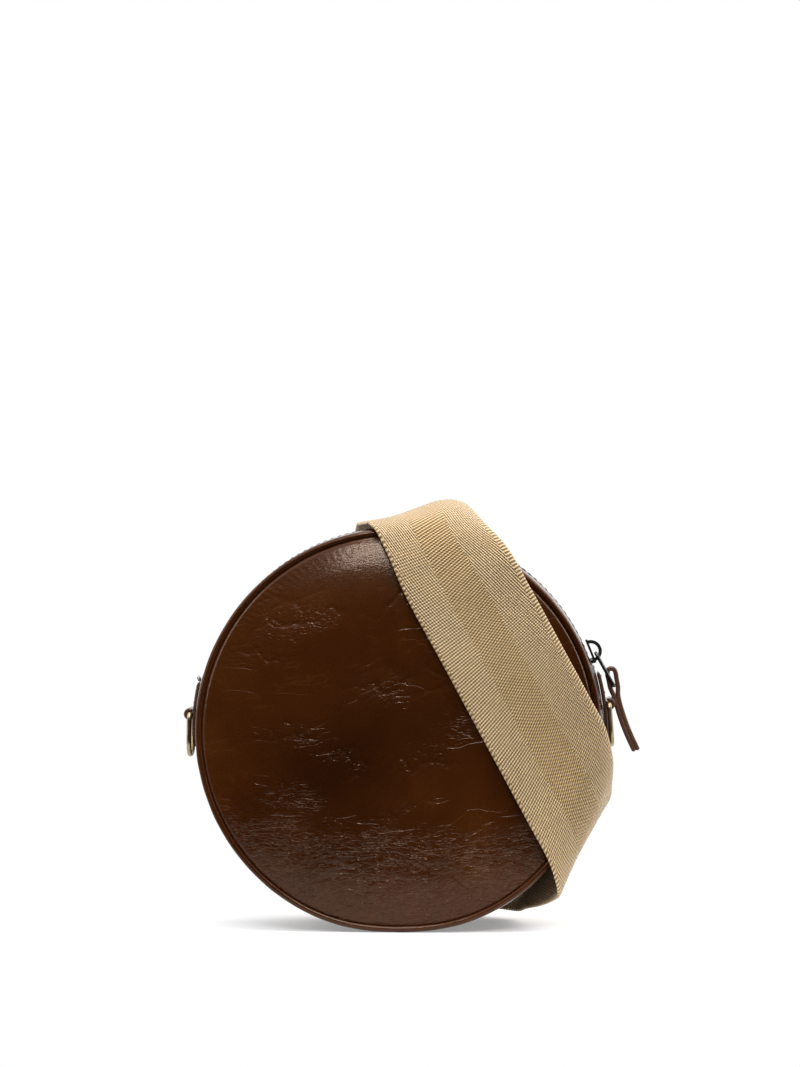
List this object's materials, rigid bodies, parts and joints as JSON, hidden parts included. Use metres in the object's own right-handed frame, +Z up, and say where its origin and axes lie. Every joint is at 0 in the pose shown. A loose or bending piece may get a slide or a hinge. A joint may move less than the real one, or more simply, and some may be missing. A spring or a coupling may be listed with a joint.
{
  "type": "circle bag",
  "caption": "Round leather shoulder bag with a zip over its top, D-rings at its sides and a wide webbing strap with snap hooks, unclipped and wrapped round it.",
  "frame": {"origin": "on the floor, under the middle of the bag's flat base", "axes": "+X to the right of the front panel, +Y to the back, +Z up"},
  "size_m": [0.2047, 0.0929, 0.1912],
  "materials": {
    "brown_leather": "glossy creased",
    "lining_cloth": "woven",
    "zip_tape_cloth": "woven",
    "dark_metal": "dark gunmetal",
    "old_brass": "antique satin",
    "tan_webbing": "woven with sheen"
  },
  "bodies": {
    "bag": {"front_panel": "brown_leather", "back_panel": "brown_leather", "front_piping": "brown_leather", "back_piping": "brown_leather", "lower_gusset": "brown_leather", "zip_gusset_front": "brown_leather", "zip_gusset_back": "brown_leather", "front_lining": "lining_cloth", "back_lining": "lining_cloth", "gusset_lining": "lining_cloth", "zip_tape_front": "zip_tape_cloth", "zip_tape_back": "zip_tape_cloth", "zip_teeth_front": "dark_metal", "zip_teeth_back": "dark_metal", "zip_stops": "dark_metal", "left_ring_tab": "brown_leather", "right_ring_tab": "brown_leather", "strap_webbing": "tan_webbing"},
    "slider": {"zip_slider": "dark_metal"},
    "pull_link": {"zip_pull_link": "dark_metal"},
    "pull_tab": {"zip_pull_tab": "brown_leather"},
    "left_ring": {"left_d_ring": "old_brass"},
    "right_ring": {"right_d_ring": "old_brass"},
    "adjuster": {"strap_adjuster": "old_brass"},
    "hanging_eye": {"hanging_hook_eye": "old_brass"},
    "hanging_claw": {"hanging_hook_claw": "old_brass"},
    "hanging_gate": {"hanging_hook_gate": "old_brass"},
    "floor_eye": {"floor_hook_eye": "old_brass"},
    "floor_claw": {"floor_hook_claw": "old_brass"},
    "floor_gate": {"floor_hook_gate": "old_brass"}
  },
  "joints": [
    {"name": "zip_slide", "type": "hinge", "parent": "bag", "child": "slider", "pos_m": [0, 0, 0.0888], "axis": [0, -1, 0], "range_deg": [0, 136], "deforming": ["zip_tape_front", "zip_tape_back", "zip_teeth_front", "zip_teeth_back", "strap_webbing"]},
    {"name": "pull_swing", "type": "hinge", "parent": "slider", "child": "pull_link", "pos_m": [0.08804, 0, 0.12263], "axis": [0, -1, 0], "range_deg": [0, 150]},
    {"name": "tab_swing", "type": "hinge", "parent": "pull_link", "child": "pull_tab", "pos_m": [0.09604, 0, 0.1082], "axis": [0, -1, 0], "range_deg": [0, 50]},
    {"name": "left_ring_swing", "type": "hinge", "parent": "bag", "child": "left_ring", "pos_m": [-0.09425, 0, 0.09539], "axis": [0, 1, 0], "range_deg": [0, 150]},
    {"name": "right_ring_swing", "type": "hinge", "parent": "bag", "child": "right_ring", "pos_m": [0.09378, 0, 0.10031], "axis": [0, -1, 0], "range_deg": [0, 150], "deforming": ["zip_pull_tab"]},
    {"name": "adjuster_slide", "type": "slide", "parent": "bag", "child": "adjuster", "axis": [0, 0, 1], "range_m": [0, 0.02], "deforming": ["strap_webbing"]},
    {"name": "hanging_eye_swing", "type": "hinge", "parent": "bag", "child": "hanging_eye", "pos_m": [0.001, 0.0488, 0.1088], "axis": [1, 0, 0], "range_deg": [0, 60]},
    {"name": "hanging_swivel", "type": "hinge", "parent": "hanging_eye", "child": "hanging_claw", "pos_m": [0.001, 0.0488, 0.1088], "axis": [0, 0, 1], "continuous": true},
    {"name": "hanging_gate_swing", "type": "hinge", "parent": "hanging_claw", "child": "hanging_gate", "pos_m": [0.00524, 0.0488, 0.08498], "axis": [0, 1, 0], "range_deg": [0, 30], "stiffness_Nm_per_rad": 0.004, "springref_deg": -11.46},
    {"name": "floor_eye_swing", "type": "hinge", "parent": "bag", "child": "floor_eye", "pos_m": [-0.006, 0.0467, 0.0306], "axis": [0, 0, -1], "range_deg": [0, 45]},
    {"name": "floor_swivel", "type": "hinge", "parent": "floor_eye", "child": "floor_claw", "pos_m": [-0.006, 0.0467, 0.0306], "axis": [1, 0, 0], "continuous": true},
    {"name": "floor_gate_swing", "type": "hinge", "parent": "floor_claw", "child": "floor_gate", "pos_m": [-0.02982, 0.0467, 0.03484], "axis": [0, -1, 0], "range_deg": [0, 30], "stiffness_Nm_per_rad": 0.004, "springref_deg": -11.46}
  ]
}
